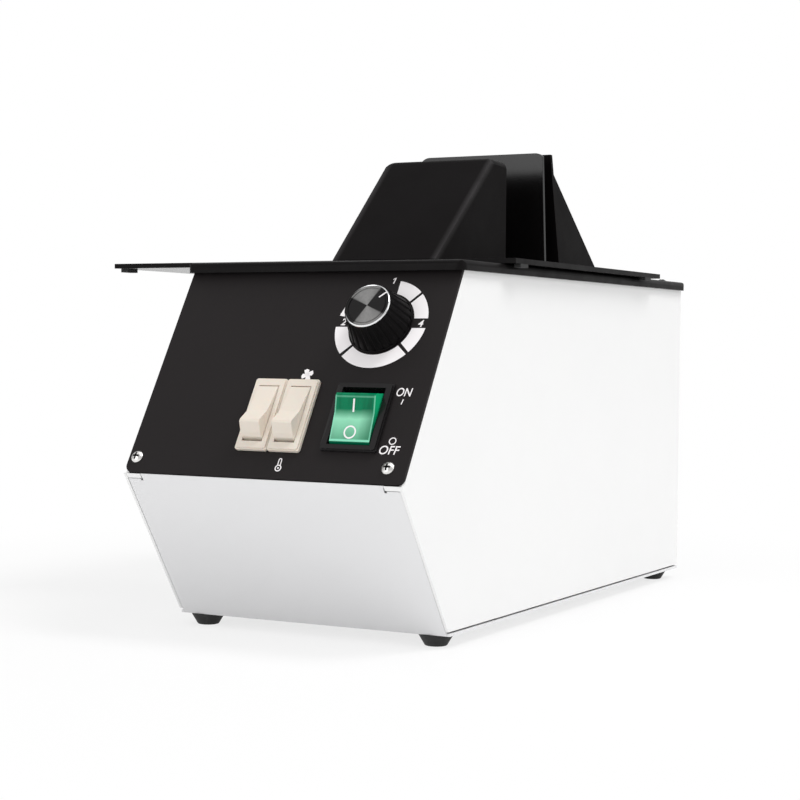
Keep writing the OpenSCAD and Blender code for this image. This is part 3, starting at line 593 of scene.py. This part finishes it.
def dial_angle(n, place):
    """Angle round the dial's axis, and the two distances across and up the panel."""
    off = n.vector_math("SUBTRACT", place, PANEL @ Vector((DIAL[0] * MM, DIAL[1] * MM, 0)))
    u, v = (n.vector_math("DOT_PRODUCT", off, way * PER_M) for way in (Vector((1, 0, 0)), SLOPE))
    return n.math("ARCTAN2", v, u), u, v


def spun_metal():
    """Turned aluminium: fine rings round the dial's axis, with crossed bright and dark fans painted into
    its colour as a painted reflection.
    """
    mat, n, shader = material("Turned aluminium")
    place = n.place()
    turn, u, v = dial_angle(n, place)
    # Painted reflection: two crossed fans round the axis are bright and the rest of the cap dark
    fan = n.math("COSINE", n.math("MULTIPLY_ADD", turn, 2.0, -2 * math.radians(PAINTED_FANS_AT)))
    edge = n.spread(fan, -0.10, 0.10, 0.0, 1.0)
    lift = n.spread(n.math("ABSOLUTE", fan), 0.0, 1.0, 0.75, 1.0)
    grain = n.noise(place, 900.0, 4.0, 0.6)
    bright = n.math("MULTIPLY", n.math("MULTIPLY", edge, lift),
                    n.spread(grain, 0.3, 0.7, 0.88, 1.08), clamp=True)
    n.link(n.blend(bright, TINTS["cap painted dark fan"], TINTS["cap painted bright fan"]), shader.inputs["Base Color"])
    rings = n.math("SINE", n.math("MULTIPLY", n.hypot(u, v), RING_WAVE))
    n.link(n.spread(rings, -1.0, 1.0, 0.30, 0.42), shader.inputs["Roughness"])
    shader.inputs["Metallic"].default_value = 0.55
    n.relief(shader, rings, 0.25, 0.00003)
    return mat


def polished_rim():
    """Diamond-cut rim, darker and duller on one side; the darker colour is a painted dark reflection."""
    mat, n, shader = material("Diamond-cut rim")
    place = n.place()
    turn, _, _ = dial_angle(n, place)
    # Painted reflection: the rim's colour goes near black on one side of the dial, and its roughness rises
    # there
    wave = n.math("COSINE", n.math("SUBTRACT", turn, math.radians(DARK_REFLECTION_AT)))
    ragged = n.spread(n.noise(place, 260.0), 0.3, 0.7, -0.06, 0.06)
    dullness = n.spread(n.math("ADD", wave, ragged), 0.35, 0.85, 0.0, 1.0)
    n.link(n.blend(dullness, TINTS["rim bright"], TINTS["rim dark reflection"]), shader.inputs["Base Color"])
    n.link(n.spread(dullness, 0.0, 1.0, 0.12, 0.45), shader.inputs["Roughness"])
    shader.inputs["Metallic"].default_value = 1.0
    return mat


# ---------------------------------------------------------------- mesh helpers

def add_piece(name, body, mat, build, place, smooth=True):
    """A new mesh piece that rides on a body. build(bm) draws it in millimetres."""
    bm = bmesh.new()
    build(bm)
    bmesh.ops.scale(bm, vec=(MM, MM, MM), verts=bm.verts)
    bmesh.ops.transform(bm, matrix=place, verts=bm.verts)
    bmesh.ops.remove_doubles(bm, verts=bm.verts, dist=1e-7)
    bmesh.ops.recalc_face_normals(bm, faces=bm.faces)
    mesh = bpy.data.meshes.new(name)
    bm.to_mesh(mesh)
    bm.free()
    piece = bpy.data.objects.new(name, mesh)
    bpy.context.scene.collection.objects.link(piece)
    mesh.materials.append(mat)
    if smooth:
        mesh.shade_smooth()
        mesh.set_sharp_from_angle(angle=math.radians(35))
    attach(piece, body)


def soften(obj, width, segments, flats):
    """Rounds the sharp edges of a piece without moving its faces."""
    weld = obj.modifiers.new("Join facets", "WELD")
    weld.merge_threshold = 1e-6
    if flats:
        merge = obj.modifiers.new("Whole flats", "DECIMATE")
        merge.decimate_type = "DISSOLVE"
        merge.angle_limit = math.radians(0.4)
    bevel = obj.modifiers.new("Soft edges", "BEVEL")
    bevel.width = width
    bevel.segments = segments
    bevel.limit_method = "ANGLE"
    bevel.angle_limit = math.radians(32)
    bevel.harden_normals = True
    bevel.use_clamp_overlap = True


def dress(node, mat, edge=0.0, segments=2, flats=False):
    """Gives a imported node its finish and, if asked, softly rounded edges."""
    obj = NODES[node]
    obj.data.materials.clear()
    obj.data.materials.append(mat)
    if edge:
        soften(obj, edge, segments, flats)


def on_circle(centre, radius, degrees):
    """A point on a circle."""
    a = math.radians(degrees)
    return centre[0] + radius * math.cos(a), centre[1] + radius * math.sin(a)


def prism(bm, outline, low, high):
    """A solid from an outline of (x, y) points between two heights."""
    bottom = [bm.verts.new((x, y, low)) for x, y in outline]
    top = [bm.verts.new((x, y, high)) for x, y in outline]
    bm.faces.new(bottom[::-1])
    bm.faces.new(top)
    for i in range(len(outline)):
        j = (i + 1) % len(outline)
        bm.faces.new((bottom[i], bottom[j], top[j], top[i]))


def band(bm, centre, inner, outer, start, stop, low, high, steps=28):
    """A flat ring or arc; angles in degrees, inner may be a function of the angle."""
    full = abs(stop - start) >= 360
    rows = []
    for i in range(steps + (0 if full else 1)):
        a = start + (stop - start) * i / steps
        radii = inner(a) if callable(inner) else inner, outer
        rows.append([bm.verts.new((*on_circle(centre, radii[k], a), z))
                     for k, z in ((0, low), (1, low), (1, high), (0, high))])
    for a, b in zip(rows, rows[1:] + ([rows[0]] if full else [])):
        for i in range(4):
            j = (i + 1) % 4
            bm.faces.new((a[i], a[j], b[j], b[i]))
    if not full:
        bm.faces.new(rows[0])
        bm.faces.new(rows[-1][::-1])


def sector(bm, centre, radii, inner, outer, low, high, steps=24):
    """A flat piece of a ring whose ends may lean: the angles of its inner and outer corners."""
    outline = [on_circle(centre, r, a + (b - a) * i / steps)
               for r, (a, b) in ((radii[0], inner), (radii[1], outer[::-1])) for i in range(steps + 1)]
    prism(bm, outline, low, high)


def disc(bm, centre, radius, low, high, steps=32):
    prism(bm, [on_circle(centre, radius, 360 * i / steps) for i in range(steps)], low, high)


def bar(bm, a, b, width, low, high):
    """A straight stroke between two points."""
    a, b = Vector(a), Vector(b)
    side = (b - a).normalized().orthogonal() * width / 2
    prism(bm, [tuple(a + side), tuple(a - side), tuple(b - side), tuple(b + side)], low, high)


def turned_ring(bm, profile, steps=96):
    """A ring turned about z from a closed profile of (radius, height) points."""
    rings = [[bm.verts.new((*on_circle((0, 0), r, 360 * i / steps), z)) for i in range(steps)]
             for r, z in profile]
    for a, b in zip(rings, rings[1:] + rings[:1]):
        for i in range(steps):
            j = (i + 1) % steps
            bm.faces.new((a[i], a[j], b[j], b[i]))


def sign(bm, text, at, height, low, high, bold=0.0, tilt=0.0, wide=1.0):
    """Generic signs, such as a dial's number, as raised strokes centred on a point."""
    curve = bpy.data.curves.new("sign", "FONT")
    curve.body = text
    curve.size = height * 1.38
    curve.align_x = "CENTER"
    curve.align_y = "CENTER"
    curve.offset = bold
    curve.shear = tilt
    curve.extrude = (high - low) / 2
    curve.resolution_u = 4
    temp = bpy.data.objects.new("sign", curve)
    bpy.context.scene.collection.objects.link(temp)
    mesh = bpy.data.meshes.new_from_object(temp.evaluated_get(bpy.context.evaluated_depsgraph_get()))
    mesh.transform(Matrix.Translation((at[0], at[1], (low + high) / 2)) @ Matrix.Diagonal((wide, 1, 1, 1)))
    bm.from_mesh(mesh)
    bpy.data.objects.remove(temp)
    bpy.data.curves.remove(curve)
    bpy.data.meshes.remove(mesh)


# ---------------------------------------------------------------- operators

class WarmerOperator:
    """Common part of the warmer's operators."""

    bl_options = {"REGISTER", "UNDO"}


class WARMER_OT_stage(WarmerOperator, bpy.types.Operator):
    """Floor, soft lamps, white room and the camera"""

    bl_idname = "warmer.stage"
    bl_label = "Studio and camera"

    FLOOR = ((-6, -4), (6, -4), (6, 14), (-6, 14))
    # The camera, solved from the photograph: place in metres, turns in degrees
    EYE = (0.38834, -0.76857, 0.12151)
    AZIMUTH, DROP, ROLL = 27.971, 1.699, 0.577

    def execute(self, context):
        scene, stage = context.scene, context.scene.warmer_stage
        scene.view_settings.view_transform = "Standard"
        bm = bmesh.new()
        bm.faces.new([bm.verts.new((x, y, 0)) for x, y in self.FLOOR])
        mesh = bpy.data.meshes.new("floor")
        bm.to_mesh(mesh)
        bm.free()
        floor = bpy.data.objects.new("floor", mesh)
        scene.collection.objects.link(floor)
        mesh.materials.append(self.floor_material())
        self.room(scene, stage.room)
        for name, at, aim, size, power in (
                ("side_lamp", (1.35, 0.15, 0.75), 0.10, 1.1, stage.key_power),
                ("high_lamp", (0.78, 0.08, 1.60), 0.10, 0.6, stage.high_power),
                ("top_lamp", (-0.10, 0.10, 1.5), 0.10, 1.2, stage.top_power),
                ("front_fill", (-0.35, -1.40, 0.32), 0.09, 1.0, stage.fill_power)):
            self.lamp(scene, name, at, (0.0, 0.0, aim), size, power)
        self.camera(scene, stage.lens)
        return {"FINISHED"}

    @staticmethod
    def floor_material():
        """Pale floor that fades to plain white away from the object and keeps its shadow."""
        mat, n, shader = material("Pale floor")
        place = n.place()
        speck = n.noise(place, 30.0)
        n.link(n.blend(speck, (0.80, 0.80, 0.80), (0.82, 0.82, 0.82)), shader.inputs["Base Color"])
        shader.inputs["Roughness"].default_value = 0.9
        shader.inputs["Specular IOR Level"].default_value = 0.1
        white = n.add("ShaderNodeEmission")
        white.inputs["Color"].default_value = (1, 1, 1, 1)
        white.inputs["Strength"].default_value = 1.0
        distance = n.add("ShaderNodeVectorMath", operation="LENGTH")
        n.link(place, distance.inputs[0])
        far = n.spread(distance.outputs["Value"], 0.17, 0.42, 0.76, 1.0, curve="SMOOTHSTEP")
        path = n.add("ShaderNodeLightPath").outputs
        seen = n.math("MAXIMUM", path["Is Camera Ray"],
                      n.math("MAXIMUM", path["Is Glossy Ray"], path["Is Transmission Ray"]))
        mix = n.add("ShaderNodeMixShader")
        n.link(n.math("MULTIPLY", seen, far), mix.inputs[0])
        n.link(shader.outputs[0], mix.inputs[1])
        n.link(white.outputs[0], mix.inputs[2])
        end = next(x for x in n.tree.nodes if x.bl_idname == "ShaderNodeOutputMaterial")
        n.link(mix.outputs[0], end.inputs[0])
        return mat

    @staticmethod
    def room(scene, strength):
        """White room: plain white where the camera sees it, softer as light."""
        world = bpy.data.worlds.new("White room")
        world.use_nodes = True
        scene.world = world
        n = Nodes(world.node_tree)
        world.node_tree.nodes.clear()
        path = n.add("ShaderNodeLightPath")
        back = n.add("ShaderNodeBackground")
        back.inputs["Color"].default_value = (1, 1, 1, 1)
        level = n.add("ShaderNodeMix", data_type="FLOAT")
        level.inputs[2].default_value = strength
        level.inputs[3].default_value = 1.0
        n.link(path.outputs["Is Camera Ray"], level.inputs[0])
        n.link(level.outputs[0], back.inputs["Strength"])
        n.link(back.outputs[0], n.add("ShaderNodeOutputWorld").inputs[0])

    @staticmethod
    def lamp(scene, name, at, to, size, power):
        data = bpy.data.lights.new(name, "AREA")
        data.shape = "SQUARE"
        data.size = size
        data.energy = power
        lamp = bpy.data.objects.new(name, data)
        scene.collection.objects.link(lamp)
        lamp.location = at
        lamp.rotation_euler = (Vector(to) - Vector(at)).to_track_quat("-Z", "Y").to_euler()

    def camera(self, scene, lens):
        data = bpy.data.cameras.new("camera")
        data.sensor_width = 36
        data.lens = lens
        data.clip_start = 0.05
        data.clip_end = 50
        eye = bpy.data.objects.new("camera", data)
        scene.collection.objects.link(eye)
        az, drop, roll = (math.radians(x) for x in (self.AZIMUTH, self.DROP, self.ROLL))
        ahead = Vector((-math.sin(az) * math.cos(drop), math.cos(az) * math.cos(drop), -math.sin(drop)))
        right = Vector((math.cos(az), math.sin(az), 0))
        up = right.cross(ahead)
        across = right * math.cos(roll) + up * math.sin(roll)
        above = up * math.cos(roll) - right * math.sin(roll)
        turn = Matrix((across, above, -ahead)).transposed().to_4x4()
        eye.matrix_world = Matrix.Translation(self.EYE) @ turn
        scene.camera = eye


class WARMER_OT_body(WarmerOperator, bpy.types.Operator):
    """White stoved steel body, base pan and rubber feet"""

    bl_idname = "warmer.body"
    bl_label = "Steel body"

    def execute(self, context):
        edge = sizes().fold_round
        dress("body_shell", shell_paint(), edge, flats=True)
        dress("base_pan", pan_paint(), edge, flats=True)
        dress("feet", rubber(), SOFT_ROUND)
        dress("foot_screws", bright_steel(), SCREW_ROUND)
        dress("shell_screws", white_paint(), SCREW_ROUND)
        dress("terminal_block", ceramic(), SOFT_ROUND)
        return {"FINISHED"}


class WARMER_OT_lid(WarmerOperator, bpy.types.Operator):
    """Black lid with its outlet grille and screws"""

    bl_idname = "warmer.lid"
    bl_label = "Lid"

    def execute(self, context):
        dress("lid", glossy_flats(), CASE_ROUND, flats=True)
        dress("lid_screws", black_steel(), SCREW_ROUND)
        dress("outlet_grille", zinc(), SCREW_ROUND)
        return {"FINISHED"}


class WARMER_OT_tray(WarmerOperator, bpy.types.Operator):
    """Sliding tray plate, its pads and guide pins"""

    bl_idname = "warmer.tray"
    bl_label = "Sliding tray"

    def execute(self, context):
        dress("slide_tray", glossy_flats(), CASE_ROUND, flats=True)
        dress("tray_pads", rubber(), THIN_ROUND)
        dress("guide_pins", bright_steel(), SCREW_ROUND)
        return {"FINISHED"}


class WARMER_OT_hood(WarmerOperator, bpy.types.Operator):
    """The two hood halves, the slot baffle and their fixings"""

    bl_idname = "warmer.hood"
    bl_label = "Hood"

    def execute(self, context):
        dress("front_hood", creased_plastic(), sizes().mould_round, segments=4, flats=True)
        dress("rear_hood", hood_plastic(), BLUNT_ROUND, flats=True)
        dress("slot_baffle", baffle_gloss(), SOFT_ROUND, flats=True)
        dress("baffle_spacers", plain_black(), THIN_ROUND)
        dress("hood_screws", bright_steel(), SCREW_ROUND)
        return {"FINISHED"}


class WARMER_OT_panel(WarmerOperator, bpy.types.Operator):
    """Control panel and its two corner screws"""

    bl_idname = "warmer.panel"
    bl_label = "Control panel"

    def execute(self, context):
        dress("control_panel", panel_film(), PLATE_ROUND, flats=True)
        dress("panel_screws", recessed_steel(), PANEL_SCREW_ROUND)
        return {"FINISHED"}


class WARMER_OT_print(WarmerOperator, bpy.types.Operator):
    """Printed scale, numbers and plain signs on the control panel"""

    bl_idname = "warmer.print"
    bl_label = "Panel print"

    # Pieces of the ring: the angles of their inner and of their outer corners; then the wedge's ends
    ARCS = (((77.2, 46.6), (81.0, 46.9)), ((42.0, 10.4), (43.4, 7.4)), ((-7.7, -38.0), (-5.4, -39.4)),
            ((-43.8, -132.8), (-43.0, -131.8)), ((-137.4, -173.9), (-136.4, -175.7)))
    WEDGE = (156.2, 169.2)
    # Strokes of the 1 and of the line by ON: ends and width
    STROKES = (((35.2, 91.9), (35.8, 94.8), 0.5), ((34.6, 93.9), (35.7, 94.7), 0.4),
               ((54.6, 35.7), (55.0, 38.0), 0.42))
    # Signs: place, height, boldness, lean and width
    SIGNS = (("2", (17.4, 73.3), 3.3, 0.06, 0.15, 1.0), ("4", (52.9, 72.7), 3.3, 0.06, 0.15, 1.0),
             ("ON", (54.3, 41.0), 3.9, 0.03, 0.12, 0.82), ("OFF", (54.9, 15.2), 3.9, 0.03, 0.12, 0.95))
    OFF_RING = ((55.5, 19.4), 1.2, 1.62)
    # Fan sign: its middle and one blade; thermometer sign: its bulb and how high the stem stands
    FAN = (8.0, 48.3)
    BLADE = ((0.3, -0.5), (1.9, -1.1), (2.7, -0.3), (2.6, 1.2), (0.8, 1.0))
    BULB, STEM = (8.0, 5.5), 3.6

    def execute(self, context):
        top = sizes().ink_height / MM
        for name, draw in (("dial_scale", self.scale), ("panel_numbers", self.numbers),
                           ("panel_signs", self.pictograms)):
            add_piece(name, "housing", ink(),
                      lambda bm, draw=draw: draw(bm, PRINT_ROOT, top), PANEL, smooth=False)
        return {"FINISHED"}

    def scale(self, bm, low, top):
        inside, outside = sizes().ring_inner / MM, sizes().ring_outer / MM
        for inner, outer in self.ARCS:
            sector(bm, DIAL, (inside, outside), inner, outer, low, top)
        tip, base = self.WEDGE

        def edge(a):
            return outside - (outside - inside) * min(1.0, (a - tip) / (base - tip - 2))

        band(bm, DIAL, edge, outside, tip, base, low, top)

    def numbers(self, bm, low, top):
        for a, b, width in self.STROKES:
            bar(bm, a, b, width, low, top)
        for text, at, height, bold, tilt, wide in self.SIGNS:
            sign(bm, text, at, height, low, top, bold, tilt, wide)
        band(bm, *self.OFF_RING, 0, 360, low, top)

    def pictograms(self, bm, low, top):
        for turn in (20, 110, 200, 290):
            c, s = on_circle((0, 0), 1, turn)
            prism(bm, [(self.FAN[0] + x * c - y * s, self.FAN[1] + x * s + y * c) for x, y in self.BLADE],
                  low, top)
        disc(bm, self.FAN, 0.8, low, top)
        x, y = self.BULB
        band(bm, self.BULB, 1.05, 1.5, 0, 360, low, top)
        disc(bm, self.BULB, 0.4, low, top, 16)
        for side in (x - 0.62, x + 0.62):
            bar(bm, (side, y + 1.2), (side, y + self.STEM), 0.4, low, top)
        band(bm, (x, y + self.STEM), 0.42, 0.82, 0, 180, low, top, steps=12)


class WARMER_OT_dial(WarmerOperator, bpy.types.Operator):
    """Dial knob with its turned cap, bright rim and pointer"""

    bl_idname = "warmer.dial"
    bl_label = "Dial"

    RIM = ((9.25, 13.8), (9.4, 14.05), (9.62, 14.12), (9.88, 13.9), (9.98, 13.55), (9.3, 13.4))
    # Pointer: its angle, the radii of its ends, its width and its two heights
    POINTER, ENDS, WIDTH, HEIGHTS = 41, (5.8, 9.5), 0.55, (13.9, 14.12)

    def execute(self, context):
        dress("dial_knob", knob_black(), CASE_ROUND)
        dress("knob_cap", spun_metal())
        dress("dial_shaft", bright_steel(), SCREW_ROUND)
        dress("thermostat", zinc(), CASE_ROUND)
        place = PANEL @ Matrix.Translation((DIAL[0] * MM, DIAL[1] * MM, 0))
        add_piece("knob_rim", "dial", polished_rim(),
                  lambda bm: turned_ring(bm, self.RIM), place)
        add_piece("knob_pointer", "dial", ink(), self.pointer, place, smooth=False)
        return {"FINISHED"}

    def pointer(self, bm):
        near, far = (on_circle((0, 0), r, self.POINTER) for r in self.ENDS)
        bar(bm, near, far, self.WIDTH, *self.HEIGHTS)


class WARMER_OT_switches(WarmerOperator, bpy.types.Operator):
    """Two beige selector rockers and the lit green mains rocker"""

    bl_idname = "warmer.switches"
    bl_label = "Switches"

    # The two faces of the green rocker, each between two points about its pivot
    UPPER = ((0.5, 6.1), (6.4, 8.7))
    LOWER = ((-11.4, 3.9), (0.5, 6.1))
    # Low and high side of the print on them
    MARK = (-0.03, 0.05)

    def execute(self, context):
        for node in ("heat_switch_body", "fan_switch_body"):
            dress(node, beige_plastic(), CASE_ROUND)
        for node in ("heat_rocker", "fan_rocker"):
            dress(node, beige_plastic(), BLUNT_ROUND)
        dress("power_switch_body", gloss_black(), CASE_ROUND)
        dress("power_rocker", green_lens(), SOFT_ROUND)
        add_piece("rocker_line", "power_key", ink(),
                  lambda bm: bar(bm, (-0.5, 0.1), (-0.5, 5.4), 0.75, *self.MARK),
                  self.face_of(*self.UPPER), smooth=False)
        add_piece("rocker_ring", "power_key", ink(),
                  lambda bm: band(bm, (-0.4, 3.9), 2.1, 2.75, 0, 360, *self.MARK, steps=36),
                  self.face_of(*self.LOWER), smooth=False)
        return {"FINISHED"}

    @staticmethod
    def face_of(low, high):
        """Placing on a face of the green rocker that runs between two profile points."""
        along = Vector((0, high[0] - low[0], high[1] - low[1])).normalized()
        out = Vector((0, -along.z, along.y))
        spot = Matrix.Translation(Vector((GREEN_U, SWITCH_V + low[0], PIVOT_N + low[1])) * MM)
        turn = Matrix(((1, 0, 0), (0, along.y, out.y), (0, along.z, out.z))).to_4x4()
        return PANEL @ spot @ turn


class WARMER_OT_inside(WarmerOperator, bpy.types.Operator):
    """Fan, duct, heating element and inlet"""

    bl_idname = "warmer.inside"
    bl_label = "Inner works"

    def execute(self, context):
        for node in ("fan_frame", "fan_rotor", "thermal_cutout", "power_inlet"):
            dress(node, plain_black(), CASE_ROUND)
        for node in ("air_duct", "fan_hub"):
            dress(node, zinc())
        for node in ("fan_screws", "duct_screws", "inlet_screws"):
            dress(node, bright_steel(), SCREW_ROUND)
        dress("heater_frame", board(), CASE_ROUND)
        dress("heater_coil", oxide_steel())
        return {"FINISHED"}


class WARMER_PT_panel(bpy.types.Panel):
    """Sidebar panel that lists the warmer's operators and settings"""

    bl_idname = "WARMER_PT_panel"
    bl_label = "Frame Warmer"
    bl_space_type = "VIEW_3D"
    bl_region_type = "UI"
    bl_category = "Frame Warmer"

    def draw(self, context):
        column = self.layout.column(align=True)
        for operator in OPERATORS:
            column.operator(operator.bl_idname)
        for group in (context.scene.warmer_finish, context.scene.warmer_sizes, context.scene.warmer_stage):
            box = self.layout.box()
            for key in group.__annotations__:
                box.prop(group, key)


GROUPS = (WarmerFinish, WarmerSizes, WarmerStage)
OPERATORS = (WARMER_OT_stage, WARMER_OT_body, WARMER_OT_lid, WARMER_OT_tray, WARMER_OT_hood,
             WARMER_OT_panel, WARMER_OT_print, WARMER_OT_dial, WARMER_OT_switches, WARMER_OT_inside)


def register():
    for cls in (*GROUPS, *OPERATORS, WARMER_PT_panel):
        bpy.utils.register_class(cls)
    bpy.types.Scene.warmer_finish = bpy.props.PointerProperty(type=WarmerFinish)
    bpy.types.Scene.warmer_sizes = bpy.props.PointerProperty(type=WarmerSizes)
    bpy.types.Scene.warmer_stage = bpy.props.PointerProperty(type=WarmerStage)


def unregister():
    del bpy.types.Scene.warmer_stage
    del bpy.types.Scene.warmer_sizes
    del bpy.types.Scene.warmer_finish
    for cls in reversed((*GROUPS, *OPERATORS, WARMER_PT_panel)):
        bpy.utils.unregister_class(cls)


def main():
    register()
    bpy.ops.warmer.stage()
    bpy.ops.warmer.body()
    bpy.ops.warmer.lid()
    bpy.ops.warmer.tray()
    bpy.ops.warmer.hood()
    bpy.ops.warmer.panel()
    bpy.ops.warmer.print()
    bpy.ops.warmer.dial()
    bpy.ops.warmer.switches()
    bpy.ops.warmer.inside()


if __name__ == "__main__":
    main()
